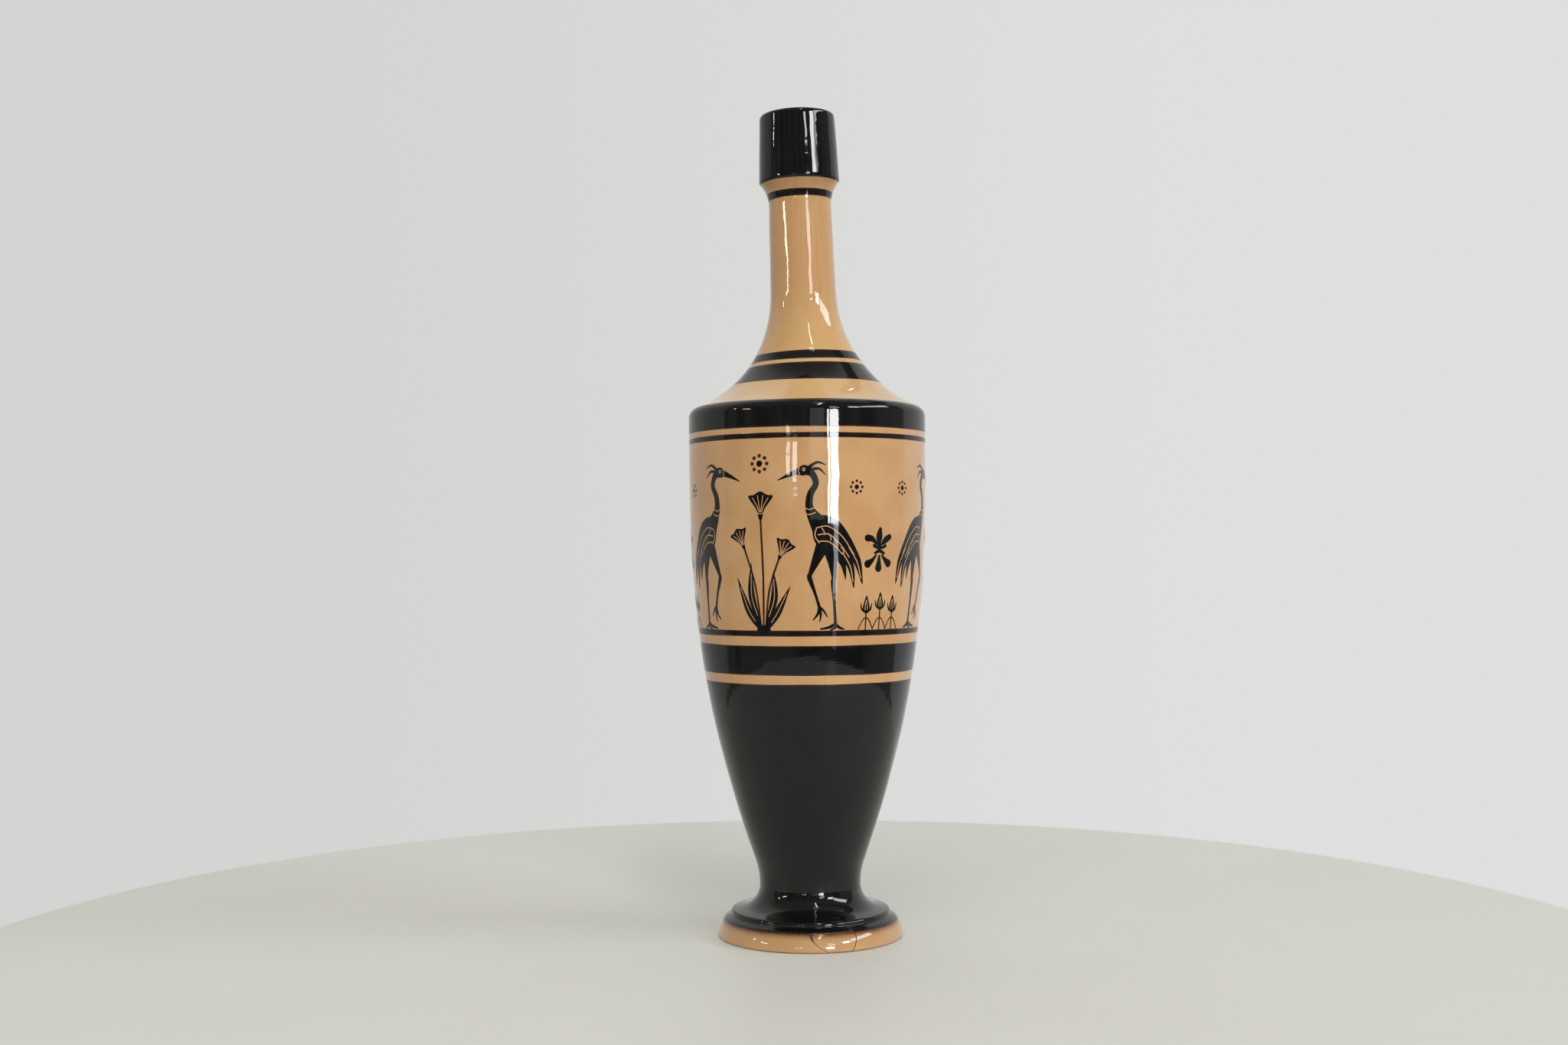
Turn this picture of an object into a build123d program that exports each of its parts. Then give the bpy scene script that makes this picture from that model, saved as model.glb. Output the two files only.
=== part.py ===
from build123d import *
from math import cos, radians, sin, tan
import os

# A lekythos, the tall flask for oil: four thrown sections luted together with slip, and a cork.
# The origin is the centre of the base. +Z is up, -Y is the front and +X is the right.
# Lengths are millimetres and angles are degrees.

# Clay
wall = 4.5  # wall of the body and the shoulder
floor_thickness = 8.0  # clay between the foot's joint and the hollow of the body
slip_thickness = 0.4  # layer of luting slip in each joint
floor_bowl = 30.0  # rise of the bowl-shaped floor, were it to reach out to the body's radius
inner_round = 6.0  # rounding inside the shoulder's edge

# Foot
stem_radius = 20.1  # narrowest place, where the foot meets the body
apron_fillet = 9.2  # hollow curve from the stem down onto the disc
apron_width = 1.1  # sloping top of the disc, outside that curve
apron_slope = 12.0
disc_round = 1.2  # rounding of the disc's upper edge
disc_thickness = 2.0
step_height = 1.2  # sloping step from the disc down to the roll
foot_step = 5.15  # reach of the roll beyond the disc
roll_height = 7.65
roll_rise = 0.8  # height of the roll's widest place
roll_drawback = 2.9  # how far the top of the roll stands back from its widest place
rest_inset = 0.6  # how far the resting edge stands back from the widest place
rest_width = 9.2  # width of the ring that the flask stands on
recess_depth = 2.5  # hollow under the foot
tenon_share = 0.5  # radius of the body's tenon, as a share of the stem's radius
tenon_length = 5.0

# Mended break in the foot
shard_bearing = 17.0  # from the front towards the right
shard_height = 7.1
shard_depth = 9.0
shard_top_left = 9.8  # reach of the shard's corners to the left and right of its middle
shard_foot_left = 3.4
shard_top_right = 6.5
shard_foot_right = 4.5
shard_left_bulge = 2.4  # how far its sides bow outwards
shard_right_bulge = 1.1
glue_thickness = 0.2

# Body
stem_curve = 29.0  # radius of the rise out of the stem
body_splay = 19.4  # slope of the wall above the stem, off the vertical
belly_rise = 162.6  # height over which the wall swells to its full radius
belly_fullness = 0.384  # length of the swelling curve's two handles, as a share of its height
body_radius = 47.4
upright_rise = 13.5  # upright wall under the shoulder
edge_round = 4.0  # rounding of the shoulder's edge
shoulder_slope = 22.5  # slope of the shoulder at its edge, off the level

# Neck
neck_radius = 13.2  # outer radius where the shoulder's curve ends
neck_taper = 1.1
neck_length = 35.1  # tapering run between the shoulder's curve and the mouth's cove
neck_wall = 4.1
neck_lean = 1.7  # lean of the neck and mouth towards the left
neck_joint_slope = 30.0  # slope of the wall, off the vertical, where the neck is joined
spigot_share = 0.58  # wall of the neck's spigot, as a share of the neck's wall
spigot_length = 8.0

# Mouth
mouth_joint_rise = 3.7  # height of the mouth's joint above the foot of the cove
cove_rise = 9.6
collar_reach = 3.65  # reach of the collar beyond the neck
collar_edge = 1.0  # rounding of the collar's lower edge
collar_height = 27.1
collar_taper = 2.4
lip_round = 1.5
seat_taper = 3.6  # taper of the bore that holds the cork

# Cork
cork_length = 22.0
cork_recess = 2.0  # depth of the cork's top under the rim
cork_clearance = 0.1
cork_chamfer = 0.6

# Foot, worked out from the stem outwards and from the base upwards
disc_radius = stem_radius + apron_fillet + apron_width + disc_round
foot_radius = disc_radius + foot_step
rest_radius = foot_radius - rest_inset
rest_inner_radius = rest_radius - rest_width
roll_top_radius = foot_radius - roll_drawback
disc_bottom = roll_height + step_height
disc_top = disc_bottom + disc_thickness
apron_run = apron_width + apron_fillet * sin(radians(apron_slope))
apron_top = disc_top + apron_run * tan(radians(apron_slope))
stem_height = apron_top + apron_fillet * cos(radians(apron_slope))
tenon_radius = tenon_share * stem_radius
socket_radius = tenon_radius + slip_thickness
tenon_bottom = stem_height - tenon_length
socket_bottom = tenon_bottom - slip_thickness

# Body and shoulder
floor_height = stem_height + floor_thickness
splay_height = stem_height + stem_curve * sin(radians(body_splay))
belly_height = splay_height + belly_rise
shoulder_height = belly_height + upright_rise
handle = belly_fullness * belly_rise
shoulder_turn = 90 - shoulder_slope
flare_turn = shoulder_turn - neck_taper
flare_start_radius = body_radius - edge_round + edge_round * sin(radians(shoulder_slope))
flare_start_height = shoulder_height + edge_round * cos(radians(shoulder_slope))
flare_radius = (flare_start_radius - neck_radius) / (cos(radians(neck_taper)) - sin(radians(shoulder_slope)))
flare_centre_radius = neck_radius + flare_radius * cos(radians(neck_taper))
flare_centre_height = flare_start_height + flare_radius * cos(radians(shoulder_slope))


def flare_point(slope, inset=0):
    """Radius and height on the shoulder's hollow curve where it slopes this far off the vertical."""
    reach = flare_radius + inset
    radius = flare_centre_radius - reach * cos(radians(slope))
    height = flare_centre_height - reach * sin(radians(slope))
    return radius, height


# Neck and mouth, as heights along the neck before it leans
joint_radius, joint_height = flare_point(neck_joint_slope)
flare_top = flare_point(neck_taper)[1]
cove_bottom = flare_top + neck_length
neck_top_radius = neck_radius - neck_length * tan(radians(neck_taper))
neck_bore = neck_top_radius - neck_wall
mouth_joint_height = cove_bottom + mouth_joint_rise
spigot_radius = neck_bore + spigot_share * neck_wall
spigot_top = mouth_joint_height + spigot_length
socket_top = spigot_top + slip_thickness
collar_bottom = cove_bottom + cove_rise
collar_radius = neck_top_radius + collar_reach
rim_height = collar_bottom + collar_height
rim_radius = collar_radius - collar_height * tan(radians(collar_taper))
seat_radius = neck_bore + (rim_height - socket_top) * tan(radians(seat_taper))
joint_wall = wall / cos(radians(neck_joint_slope))
joint_middle_radius = joint_radius - joint_wall / 2

# The neck leans about the point on the axis where the lines square to the wall at its joint meet
pivot_height = joint_height - joint_radius * tan(radians(neck_joint_slope))
neck_up = Vector(-sin(radians(neck_lean)), 0, cos(radians(neck_lean)))
neck_across = Vector(cos(radians(neck_lean)), 0, sin(radians(neck_lean)))
neck_origin = Vector(0, 0, pivot_height) - neck_up * pivot_height
neck_axis = Axis(neck_origin, neck_up)
neck_section = Plane(neck_origin, x_dir=neck_across, z_dir=(0, -1, 0))
neck_level = Plane(neck_origin, x_dir=neck_across, z_dir=neck_up)
neck_joint = neck_level.offset(joint_height)
mouth_joint = neck_level.offset(mouth_joint_height)

# The shard's own upright plane faces outwards at the back of the break
shard_out = Vector(sin(radians(shard_bearing)), -cos(radians(shard_bearing)), 0)
shard_across = Vector(cos(radians(shard_bearing)), sin(radians(shard_bearing)), 0)
shard_plane = Plane(shard_out * (foot_radius - shard_depth), x_dir=shard_across, z_dir=shard_out)
break_reach = shard_depth + foot_step


# Outline of the shard, seen from outside
with BuildSketch() as shard_face:
    with BuildLine():
        left_middle = -(shard_top_left + shard_foot_left) / 2 - shard_left_bulge
        right_middle = (shard_top_right + shard_foot_right) / 2 + shard_right_bulge
        halfway = shard_height / 2
        left = ThreePointArc((-shard_top_left, shard_height), (left_middle, halfway), (-shard_foot_left, 0))
        foot_line = Line(left @ 1, (shard_foot_right, 0))
        right = ThreePointArc(foot_line @ 1, (right_middle, halfway), (shard_top_right, shard_height))
        Line(right @ 1, left @ 0)
    make_face()

# Space inside the shoulder's hollow curve, down to the floor of the body
with BuildSketch() as inner_flare:
    with BuildLine():
        edge_radius, edge_height = flare_point(shoulder_turn, wall)
        edge_drop = (body_radius - edge_radius) * tan(radians(shoulder_slope))
        slope = Line((body_radius, edge_height - edge_drop), (edge_radius, edge_height))
        curve = JernArc(slope @ 1, slope % 1, flare_radius + wall, -flare_turn)
        top = Line(curve @ 1, (0, (curve @ 1).Y))
        axis_line = Line(top @ 1, (0, floor_height))
        bowl = TangentArc(axis_line @ 1, (body_radius, floor_height + floor_bowl), tangent=(1, 0))
        Line(bowl @ 1, slope @ 0)
    make_face()

# Outside of the shoulder's curve, the neck and the mouth, filled in to the axis
with BuildSketch() as upper_outline:
    with BuildLine():
        inwards = (-cos(radians(shoulder_slope)), sin(radians(shoulder_slope)))
        curve = JernArc(flare_point(shoulder_turn), inwards, flare_radius, -flare_turn)
        neck_line = Line(curve @ 1, (neck_top_radius, cove_bottom))
        cove = TangentArc(neck_line @ 1, (collar_radius, collar_bottom), tangent=neck_line % 1)
        side = Line(cove @ 1, (rim_radius, rim_height))
        rim = Line(side @ 1, (0, rim_height))
        axis_line = Line(rim @ 1, (0, flare_start_height))
        Line(axis_line @ 1, curve @ 0)
    make_face()
    fillet(vertices().group_by(Axis.Y)[-1].sort_by(Axis.X)[-1], lip_round)
    fillet(vertices().sort_by_distance((collar_radius, collar_bottom))[0], collar_edge)

# Foot before it was broken
with BuildPart() as whole_foot:
    with BuildSketch(Plane.XZ):
        with BuildLine():
            base = Line((rest_inner_radius, 0), (rest_radius, 0))
            toe = TangentArc((foot_radius, roll_rise), (rest_radius, 0), tangent=(0, -1))
            roll = TangentArc((foot_radius, roll_rise), (roll_top_radius, roll_height), tangent=(0, 1))
            step = Line(roll @ 1, (disc_radius, disc_bottom))
            disc_side = Line(step @ 1, (disc_radius, disc_top - disc_round))
            disc_corner = JernArc(disc_side @ 1, (0, 1), disc_round, 90)
            apron = Line(disc_corner @ 1, (disc_radius - disc_round - apron_run, apron_top))
            stem = JernArc(apron @ 1, apron % 1, apron_fillet, apron_slope - 90)
            joint_face = Line(stem @ 1, (socket_radius, stem_height))
            socket_side = Line(joint_face @ 1, (socket_radius, socket_bottom))
            socket_floor = Line(socket_side @ 1, (0, socket_bottom))
            foot_middle = Line(socket_floor @ 1, (0, recess_depth))
            recess = TangentArc(foot_middle @ 1, base @ 0, tangent=(1, 0))
        make_face()
    revolve(axis=Axis.Z)

# Block as large as the shard, and one as large as the break that it and its glue fill
with BuildPart() as shard_block:
    with BuildSketch(shard_plane):
        add(shard_face.sketch)
    extrude(amount=break_reach)

with BuildPart() as break_block:
    with BuildSketch(shard_plane.offset(-glue_thickness)):
        add(shard_face.sketch)
        offset(amount=glue_thickness, kind=Kind.INTERSECTION)
    extrude(amount=break_reach + glue_thickness)

with BuildPart() as foot:
    add(whole_foot.part)
    add(break_block.part, mode=Mode.SUBTRACT)

with BuildPart() as foot_shard:
    add(whole_foot.part)
    add(shard_block.part, mode=Mode.INTERSECT)

with BuildPart() as shard_glue:
    add(whole_foot.part)
    add(break_block.part, mode=Mode.INTERSECT)
    add(shard_block.part, mode=Mode.SUBTRACT)

# Slip in the foot's socket, a thin cup round the body's tenon
with BuildPart() as foot_slip:
    with BuildSketch(Plane.XY.offset(socket_bottom)):
        Circle(socket_radius)
    extrude(amount=tenon_length + slip_thickness)
    with BuildSketch(Plane.XY.offset(tenon_bottom)):
        Circle(tenon_radius)
    extrude(amount=tenon_length, mode=Mode.SUBTRACT)

# Slip in the neck's joint, a flat ring let half into the shoulder and half into the neck
with BuildPart() as neck_slip:
    with BuildSketch(neck_joint.offset(-slip_thickness / 2)):
        Circle(joint_middle_radius + joint_wall / 4)
        Circle(joint_middle_radius - joint_wall / 4, mode=Mode.SUBTRACT)
    extrude(amount=slip_thickness)

# Slip in the mouth's joint, a sleeve round the spigot and a ring on its end
with BuildPart() as mouth_slip:
    with BuildSketch(mouth_joint):
        Circle(spigot_radius + slip_thickness)
        Circle(spigot_radius, mode=Mode.SUBTRACT)
    extrude(amount=spigot_length + slip_thickness)
    with BuildSketch(neck_level.offset(spigot_top)):
        Circle(spigot_radius)
        Circle(neck_bore, mode=Mode.SUBTRACT)
    extrude(amount=slip_thickness)

# Body with its shoulder, and the tenon that stands in the foot
with BuildPart() as body:
    with BuildSketch(Plane.XZ):
        with BuildLine():
            rise = JernArc((stem_radius, stem_height), (0, 1), stem_curve, -body_splay)
            pull = rise @ 1 + (rise % 1) * handle
            belly = Bezier(rise @ 1, pull, (body_radius, belly_height - handle), (body_radius, belly_height))
            upright = Line(belly @ 1, (body_radius, shoulder_height))
            edge = JernArc(upright @ 1, (0, 1), edge_round, shoulder_turn)
            flare = JernArc(edge @ 1, edge % 1, flare_radius, -flare_turn)
            top = Line(flare @ 1, (0, flare_top))
            middle_line = Line(top @ 1, (0, tenon_bottom))
            tenon_end = Line(middle_line @ 1, (tenon_radius, tenon_bottom))
            tenon_side = Line(tenon_end @ 1, (tenon_radius, stem_height))
            Line(tenon_side @ 1, rise @ 0)
        make_face()
    revolve(axis=Axis.Z)
    with BuildSketch(Plane.XZ):
        inner_radius = body_radius - wall
        with BuildLine():
            rise = JernArc((stem_radius - wall, stem_height), (0, 1), stem_curve + wall, -body_splay)
            pull = rise @ 1 + (rise % 1) * handle
            belly = Bezier(rise @ 1, pull, (inner_radius, belly_height - handle), (inner_radius, belly_height))
            upright = Line(belly @ 1, (inner_radius, flare_top))
            top = Line(upright @ 1, (0, flare_top))
            middle_line = Line(top @ 1, (0, stem_height))
            Line(middle_line @ 1, rise @ 0)
        make_face()
        add(inner_flare.sketch, mode=Mode.INTERSECT)
        fillet(vertices().group_by(Axis.X)[-1].sort_by(Axis.Y)[-1], inner_round)
    revolve(axis=Axis.Z, mode=Mode.SUBTRACT)
    split(bisect_by=neck_joint, keep=Keep.BOTTOM)
    add(neck_slip.part, mode=Mode.SUBTRACT)

# Neck with the spigot that stands in the mouth
with BuildPart() as neck:
    with BuildSketch(neck_section):
        add(upper_outline.sketch)
    revolve(axis=neck_axis)
    split(bisect_by=neck_joint, keep=Keep.TOP)
    split(bisect_by=mouth_joint, keep=Keep.BOTTOM)
    with BuildSketch(mouth_joint):
        Circle(spigot_radius)
    extrude(amount=spigot_length)
    with BuildSketch(neck_section):
        add(inner_flare.sketch)
    revolve(axis=neck_axis, mode=Mode.SUBTRACT)
    with BuildSketch(neck_joint):
        Circle(neck_bore)
    extrude(amount=spigot_top - joint_height, mode=Mode.SUBTRACT)
    add(neck_slip.part, mode=Mode.SUBTRACT)

# Mouth, a tall collar with a cove under it and a tapering seat for the cork
with BuildPart() as mouth:
    with BuildSketch(neck_section):
        add(upper_outline.sketch)
    revolve(axis=neck_axis)
    split(bisect_by=mouth_joint, keep=Keep.TOP)
    with BuildSketch(mouth_joint):
        Circle(spigot_radius + slip_thickness)
    extrude(amount=spigot_length + slip_thickness, mode=Mode.SUBTRACT)
    with BuildSketch(neck_section):
        with BuildLine():
            seat_side = Line((neck_bore, socket_top), (seat_radius, rim_height))
            Polyline(seat_side @ 1, (0, rim_height), (0, socket_top), seat_side @ 0)
        make_face()
    revolve(axis=neck_axis, mode=Mode.SUBTRACT)
    rim_edges = edges().filter_by(GeomType.CIRCLE).sort_by(neck_axis)
    fillet(rim_edges[-2:].sort_by(SortBy.RADIUS)[0], lip_round)

# Cork, a tapered stopper with its top under the rim
with BuildPart() as cork_stopper:
    with BuildSketch(neck_section):
        with BuildLine():
            cork_top = rim_height - cork_recess
            cork_bottom = cork_top - cork_length
            top_radius = seat_radius - cork_clearance - cork_recess * tan(radians(seat_taper))
            bottom_radius = top_radius - cork_length * tan(radians(seat_taper))
            side = Line((bottom_radius, cork_bottom), (top_radius, cork_top))
            Polyline(side @ 1, (0, cork_top), (0, cork_bottom), side @ 0)
        make_face()
    revolve(axis=neck_axis)
    chamfer(edges().filter_by(GeomType.CIRCLE), cork_chamfer)

foot.part.label = "foot"
foot_shard.part.label = "foot_shard"
shard_glue.part.label = "shard_glue"
foot_slip.part.label = "foot_slip"
body.part.label = "body"
neck_slip.part.label = "neck_slip"
neck.part.label = "neck"
mouth_slip.part.label = "mouth_slip"
mouth.part.label = "mouth"
cork_stopper.part.label = "cork_stopper"

os.makedirs("parts", exist_ok=True)
export_step(foot.part, "parts/foot.step")
export_step(foot_shard.part, "parts/foot_shard.step")
export_step(shard_glue.part, "parts/shard_glue.step")
export_step(foot_slip.part, "parts/foot_slip.step")
export_step(body.part, "parts/body.step")
export_step(neck_slip.part, "parts/neck_slip.step")
export_step(neck.part, "parts/neck.step")
export_step(mouth_slip.part, "parts/mouth_slip.step")
export_step(mouth.part, "parts/mouth.step")
export_step(cork_stopper.part, "parts/cork_stopper.step")
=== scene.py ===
from bisect import bisect_left
from math import acos, asin, atan2, ceil, cos, degrees, hypot, pi, radians, sin, sqrt, tan

import bpy
from mathutils import Color, Matrix, Vector, noise
from mathutils.geometry import delaunay_2d_cdt


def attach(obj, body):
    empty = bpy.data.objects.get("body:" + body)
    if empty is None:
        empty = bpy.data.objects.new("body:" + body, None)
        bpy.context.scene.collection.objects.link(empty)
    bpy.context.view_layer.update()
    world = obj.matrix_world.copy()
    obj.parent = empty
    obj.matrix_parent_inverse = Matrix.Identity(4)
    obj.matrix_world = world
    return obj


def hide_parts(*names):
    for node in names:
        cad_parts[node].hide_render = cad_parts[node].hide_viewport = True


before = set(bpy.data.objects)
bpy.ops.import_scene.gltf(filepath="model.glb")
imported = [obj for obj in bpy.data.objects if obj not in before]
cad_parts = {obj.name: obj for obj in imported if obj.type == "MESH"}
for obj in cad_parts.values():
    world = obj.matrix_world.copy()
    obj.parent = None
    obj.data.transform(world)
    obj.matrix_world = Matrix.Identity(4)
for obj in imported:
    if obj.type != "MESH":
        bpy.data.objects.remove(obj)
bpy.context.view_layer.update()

MM = 0.001
scene = bpy.context.scene

# Sizes of the part, in millimetres and degrees
WALL = 4.5
FLOOR_THICKNESS = 8.0
FLOOR_BOWL = 30.0
INNER_ROUND = 6.0
SLIP_THICKNESS = 0.4
STEM_RADIUS = 20.1
APRON_FILLET = 9.2
APRON_WIDTH = 1.1
APRON_SLOPE = 12.0
DISC_ROUND = 1.2
DISC_THICKNESS = 2.0
STEP_HEIGHT = 1.2
FOOT_STEP = 5.15
ROLL_HEIGHT = 7.65
ROLL_RISE = 0.8
ROLL_DRAWBACK = 2.9
REST_INSET = 0.6
REST_WIDTH = 9.2
RECESS_DEPTH = 2.5
TENON_SHARE = 0.5
TENON_LENGTH = 5.0
STEM_CURVE = 29.0
BODY_SPLAY = 19.4
BELLY_RISE = 162.6
BELLY_FULLNESS = 0.384
BODY_RADIUS = 47.4
UPRIGHT_RISE = 13.5
EDGE_ROUND = 4.0
SHOULDER_SLOPE = 22.5
NECK_RADIUS = 13.2
NECK_TAPER = 1.1
NECK_LENGTH = 35.1
NECK_WALL = 4.1
NECK_LEAN = 1.7
NECK_JOINT_SLOPE = 30.0
SPIGOT_SHARE = 0.58
SPIGOT_LENGTH = 8.0
MOUTH_JOINT_RISE = 3.7
COVE_RISE = 9.6
COLLAR_REACH = 3.65
COLLAR_EDGE = 1.0
COLLAR_HEIGHT = 27.1
COLLAR_TAPER = 2.4
LIP_ROUND = 1.5
SEAT_TAPER = 3.6
CORK_LENGTH = 22.0
CORK_RECESS = 2.0
CORK_CLEARANCE = 0.1
CORK_CHAMFER = 0.6

# Mended break in the foot
SHARD_BEARING = 17.0  # degrees from the front towards the right
SHARD_HEIGHT = 7.1
SHARD_DEPTH = 9.0
SHARD_TOP_LEFT = 9.8
SHARD_FOOT_LEFT = 3.4
SHARD_TOP_RIGHT = 6.5
SHARD_FOOT_RIGHT = 4.5
SHARD_LEFT_BULGE = 2.4
SHARD_RIGHT_BULGE = 1.1
CRACK_WIDTH = 0.36  # width of the crack that shows
CRACK_JITTER = 0.12  # how far the broken edge strays from its line
CHIP_WIDTH = 1.0  # extra width at the top of the left crack, where a chip is lost
CHIP_HEIGHT = 3.2  # how far down the chip runs
GLUE_SINK = 0.2  # how far the glue lies under the glaze

# Painted bands, as heights that the black runs from and to
BANDS = (
    (6.6, 102.15),  # foot and lower wall
    (105.55, 116.85), (120.45, 122.65), (195.25, 197.25), (199.45, 210.15),  # body
    (219.05, 226.35), (227.85, 231.35), (293.45, 296.35),  # neck
    (300.35, 328.55),  # collar
)
LIP_GLAZE = 8.0  # how far the glaze runs down inside the mouth

# Fineness of the meshes
COLUMNS = 240
ROW_STEP = 0.88  # between rows on the outside
SWELL_ROWS = 1.15  # rows on the swelling wall, for each row step of its rise
INNER_STEP = 4.0  # between rows inside
INNER_SKIP = 6  # rows of the wall's curve for each one inside
FOOT_EASING = 0.4  # rounding that the glaze gives the foot's small corners
EASED_POINTS = 3  # points at a curve's end that a rounding takes the place of

# Hand-made unevenness of the thrown wall
THROW_DEPTH = 0.10
THROW_WIDTH = 26.0  # from one swell to the next, round the wall
THROW_HEIGHT = 17.0  # from one swell to the next, up the wall
FINE_SHARE = 0.35  # depth of the finer swells among them, as a share
FINE_SCALE = 2.7  # how many times finer those are
FINE_SHIFT = (3.1, 7.7, 1.9)  # keeps the two kinds from lining up

# Glaze
GLAZE_IOR = 1.42
GLAZE_ROUGHNESS = (0.02, 0.06)
GLAZE_SWELL = 16.0  # size of the soft swells in its surface
GLAZE_SWELL_DEPTH = 0.05
GLAZE_SMEAR = 9.0  # size of its duller patches
SPRAY_TOP = (8.0, 9.0)  # below these heights the black was sprayed, above them it was brushed
BARE_TOP = (0.5, 0.8)  # the clay is bare below
ROLL_SHADE_RANGE = (1.0, 6.0)  # painted shade: the roll of the foot is painted darker and greyer over these heights
SHOULDER_RANGE = (199.0, 213.0)  # the shoulder grows paler
NECK_RANGE = (228.0, 262.0)  # the neck grows warmer
STAIN_RANGE = (236.0, 258.0)  # streaks grow stronger
RUST_BEARING = -14.0
RUST_HEIGHT = 5.5
RUST_SIZE = 0.55

# Painted frieze
PANEL_FOOT = 122.65  # top of the line that the painting stands on
FRIEZE_RADIUS = 46.9  # mean radius of the wall there
FRIEZE_REPEATS = 3
CRANES = ((-57.4, 1), (9.4, -1))  # bearings, with 1 for one that faces right and -1 for left
PLANT_BEARING = -23.2
PALMETTE_BEARING = 34.8
PALMETTE_RISE = 29.55  # above the foot of the panel
LOTUS_BEARING = 36.5
ROSETTE_SIZE = 2.3
ROSETTE_TURN = 13.0  # degrees behind each crane
ROSETTE_RISE = 54.0
LARGE_ROSETTE_SIZE = 3.0
LARGE_ROSETTE_RISE = 63.0
PAINT_PROUD = 0.05  # thickness of the painting above the wall
LINE_PROUD = 0.03  # thickness of its thinner lines
PAINT_SUNK = 0.12  # how far the painting reaches under the surface
GRID_ROUND = 1.5  # largest triangle round the wall, so that the painting follows it
GRID_UP = 3.0

# Camera, fitted to the outline of the flask
IMAGE_WIDTH = 2048
FOCAL_PIXELS = 2310
CAMERA_PLACE = (-9.48, -709.3, 150.05)
CAMERA_PITCH = 1.15  # degrees upwards
CAMERA_ROLL = 0.40  # degrees clockwise
SENSOR_WIDTH = 36.0
NEAREST = 10.0  # the camera sees nothing nearer

# Cork
CORK_COLUMNS = 160
CORK_STEP = 0.4
CORK_PORE_SPACING = 1.7
CORK_PORE_SHARE = 0.35  # radius of a pore, as a share of the spacing
CORK_PORE_DEPTH = 0.35

# Studio
TABLE_CENTRE = (-6.0, -24.0)
TABLE_RADIUS = 340.0
TABLE_THICKNESS = 22.0
TABLE_ROUGHNESS = (0.46, 0.52)
LAMP_TARGET = 165.0  # height that the lamps face
LAMP_DISTANCE = 6000.0
DAYLIGHT = (0.97, 0.98, 1.0)
LAMPLIGHT = (1.0, 0.92, 0.76)

# Colours, in the 0 to 255 of a screen
BUFF_DARK = (183, 140, 95)
BUFF_LIGHT = (191, 151, 106)
BUFF_PALE = (187, 156, 99)
BUFF_NECK = (184, 142, 99)
# painted shade: a darker buff for the roll of the foot
BUFF_ROLL_SHADE = (148, 122, 86)
BUFF_STREAK = (178, 126, 78)
HALO = (120, 70, 38)
SPECK = (120, 82, 48)
RUST = (104, 44, 22)
TERRACOTTA = (118, 54, 33)
CLAY_DARK = (180, 112, 74)
CLAY_LIGHT = (204, 140, 96)
SLIP_DARK = (160, 92, 58)
SLIP_LIGHT = (184, 118, 80)
BLACK = (11, 11, 11)
BLACK_SOFT = (17, 16, 16)
BLACK_BROWN = (46, 27, 19)
PINHOLE = (150, 150, 146)
LINE_DARK = (44, 27, 19)
LINE_LIGHT = (84, 51, 31)
RED_DARK = (74, 20, 16)
RED_LIGHT = (104, 34, 24)
GLUE_DARK = (38, 20, 12)
GLUE_LIGHT = (74, 40, 24)
CORK_DARK = (160, 112, 66)
CORK_LIGHT = (198, 154, 104)
CORK_PORE = (74, 44, 24)
TABLE_DARK = (200, 200, 193)
TABLE_LIGHT = (206, 206, 199)
BACKGROUND_LEFT = (212, 212, 210)
BACKGROUND_RIGHT = (223, 223, 223)
WALL_LEFT = (196, 196, 194)
WALL_RIGHT = (230, 230, 230)
CEILING = (224, 223, 219)
CEILING_DIM = (150, 146, 140)
ROOM_DIM = (92, 92, 94)
ROOM_LIT = (140, 139, 136)
ROOM_RIGHT = (150, 150, 150)
LOW_DIM = (74, 73, 72)
LOW_LIT = (142, 141, 138)

# Each lamp's name, bearing, elevation, width, height, radiance and tilt, with its angles in degrees
WINDOWS = (
    ("window_main_left", 19.4, 2.2, 1.8, 9.8, 30, 0),
    ("window_main_right", 24.9, 2.2, 7.6, 9.8, 30, 0),
    ("window_main_low", 26.1, -7.0, 4.3, 8.6, 8, 0),
    ("window_sill", 26.1, -14.8, 4.3, 7, 1.2, 0),
    ("window_upper", 25.8, 14.0, 9, 4.8, 12, 0),
    ("window_slit", 24.5, 20.8, 7, 1.6, 17, 0),
    ("window_high", 45, 20.4, 10, 8, 24, 8),
    ("window_high_side", 52.5, 21.0, 5, 8, 7, 8),
    ("window_far", 72, 29, 32, 10, 12, 13),
    ("window_small_left", -18.6, 3.0, 3.4, 2.6, 13, 0),
    ("window_small_right", -12.4, 2.3, 4.0, 3.4, 13, 0),
    ("curtain", 8.5, 3.5, 14, 10, 1.0, 0),
)
MIRRORED_ONLY = ("window_slit", "window_high")  # they show in the glaze, but light nothing
LAMPS = (
    ("lamp_side", -60.5, 12.4, 9.5, 2.6, 32, -17),
    ("lamp_side_high", -76.3, 19.2, 1.7, 4.0, 40, 0),
    ("lamp_top", 15, 52, 2.2, 21, 24, -15.5),
    ("lamp_over", 20, 67, 8, 2.4, 10, 0),
    ("lamp_back", 157, 51, 3, 1.5, 7, 0),
)
FILLS = (  # they light the flask, but do not show in the glaze
    ("fill_above", -4, 42, 50, 50, 1.92, 0),
    ("fill_behind", -165, 20, 60, 40, 0.7, 0),
)

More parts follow.
